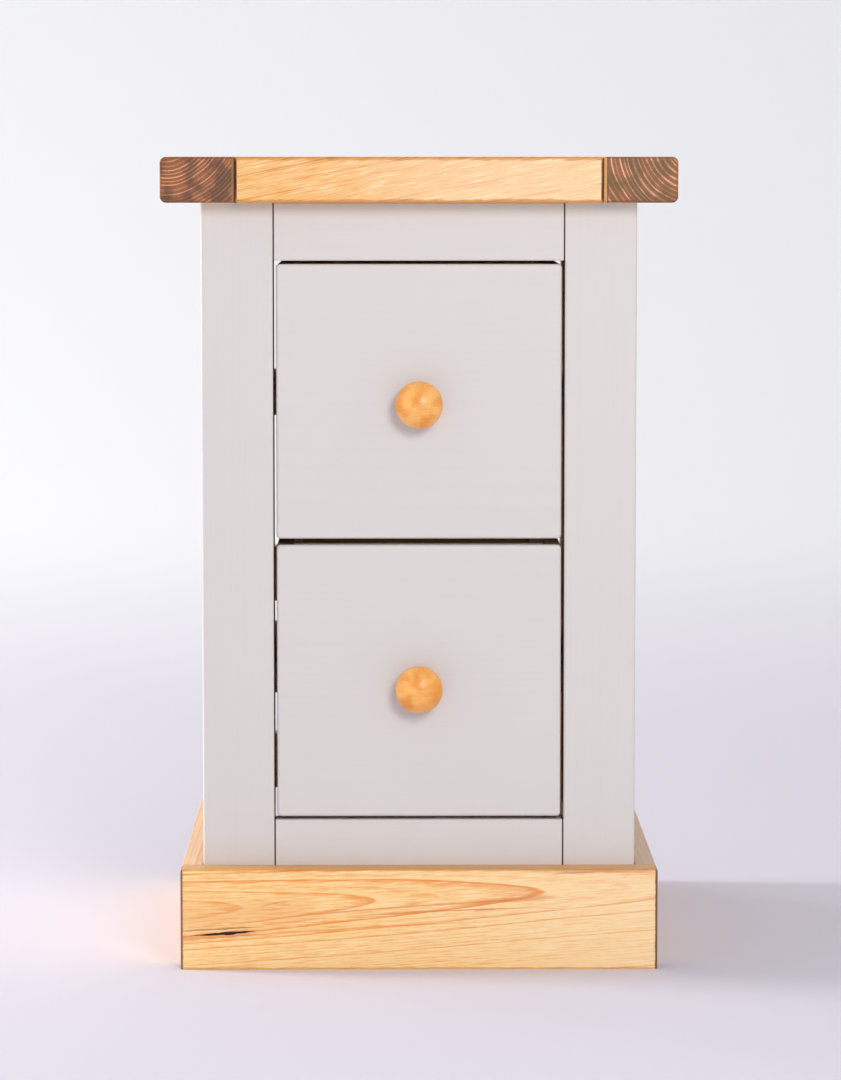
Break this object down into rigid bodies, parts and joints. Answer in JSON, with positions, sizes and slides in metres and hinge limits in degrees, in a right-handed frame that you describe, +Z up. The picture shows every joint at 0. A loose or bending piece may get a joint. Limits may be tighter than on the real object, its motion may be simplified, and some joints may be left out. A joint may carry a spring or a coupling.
{
  "type": "nightstand",
  "caption": "Narrow bedside cabinet with inset drawers, a thick clamped wooden top, a painted frame and a plinth.",
  "frame": {"origin": "bottom centre of the whole object's box, on the floor, with the drawers shut", "axes": "+Z up, -Y towards the front and the drawers' knobs, +X to the right as one faces it"},
  "size_m": [0.378, 0.386, 0.6],
  "materials": {
    "beech_dowels": "raw beech, fluted",
    "painted_pine": "satin warm-grey paint over pine, brushed along the grain",
    "plinth_pine": "waxed honey pine, long grain",
    "raw_pine": "planed raw pine",
    "thin_plywood": "raw thin plywood",
    "top_clamp_pine": "dark-waxed pine, end grain to the front",
    "top_pine": "waxed honey pine, long grain",
    "turned_knob": "varnished turned wood, honey",
    "zinc_screws": "zinc-plated steel"
  },
  "bodies": {
    "cabinet": {"cleat_screws": "zinc_screws", "front_bottom_rail": "painted_pine", "front_stile_left": "painted_pine", "front_stile_right": "painted_pine", "front_top_rail": "painted_pine", "plinth_dowels": "beech_dowels", "plinth_front": "plinth_pine", "plinth_screws": "zinc_screws", "plinth_side_left": "plinth_pine", "plinth_side_right": "plinth_pine", "rear_bottom_rail": "painted_pine", "rear_middle_rail": "painted_pine", "rear_stile_left": "painted_pine", "rear_stile_right": "painted_pine", "rear_top_rail": "painted_pine", "runner_lower_left": "raw_pine", "runner_lower_right": "raw_pine", "runner_screws": "zinc_screws", "runner_upper_left": "raw_pine", "runner_upper_right": "raw_pine", "side_board_left_front": "painted_pine", "side_board_left_middle": "painted_pine", "side_board_left_rear": "painted_pine", "side_board_right_front": "painted_pine", "side_board_right_middle": "painted_pine", "side_board_right_rear": "painted_pine", "top_board_front": "top_pine", "top_board_middle": "top_pine", "top_board_rear": "top_pine", "top_cleat_left": "raw_pine", "top_cleat_right": "raw_pine", "top_end_left": "top_clamp_pine", "top_end_right": "top_clamp_pine", "top_screws": "zinc_screws"},
    "upper_drawer": {"upper_drawer_back": "raw_pine", "upper_drawer_bottom": "thin_plywood", "upper_drawer_bottom_screws": "zinc_screws", "upper_drawer_front": "painted_pine", "upper_drawer_knob": "turned_knob", "upper_drawer_knob_screw": "zinc_screws", "upper_drawer_side_left": "raw_pine", "upper_drawer_side_right": "raw_pine", "upper_drawer_side_screws": "zinc_screws"},
    "lower_drawer": {"lower_drawer_back": "raw_pine", "lower_drawer_bottom": "thin_plywood", "lower_drawer_bottom_screws": "zinc_screws", "lower_drawer_front": "painted_pine", "lower_drawer_knob": "turned_knob", "lower_drawer_knob_screw": "zinc_screws", "lower_drawer_side_left": "raw_pine", "lower_drawer_side_right": "raw_pine", "lower_drawer_side_screws": "zinc_screws"}
  },
  "joints": [
    {"name": "upper_drawer_slide", "type": "slide", "parent": "cabinet", "child": "upper_drawer", "axis": [0, -1, 0], "range_m": [0, 0.24]},
    {"name": "lower_drawer_slide", "type": "slide", "parent": "cabinet", "child": "lower_drawer", "axis": [0, -1, 0], "range_m": [0, 0.24]}
  ]
}
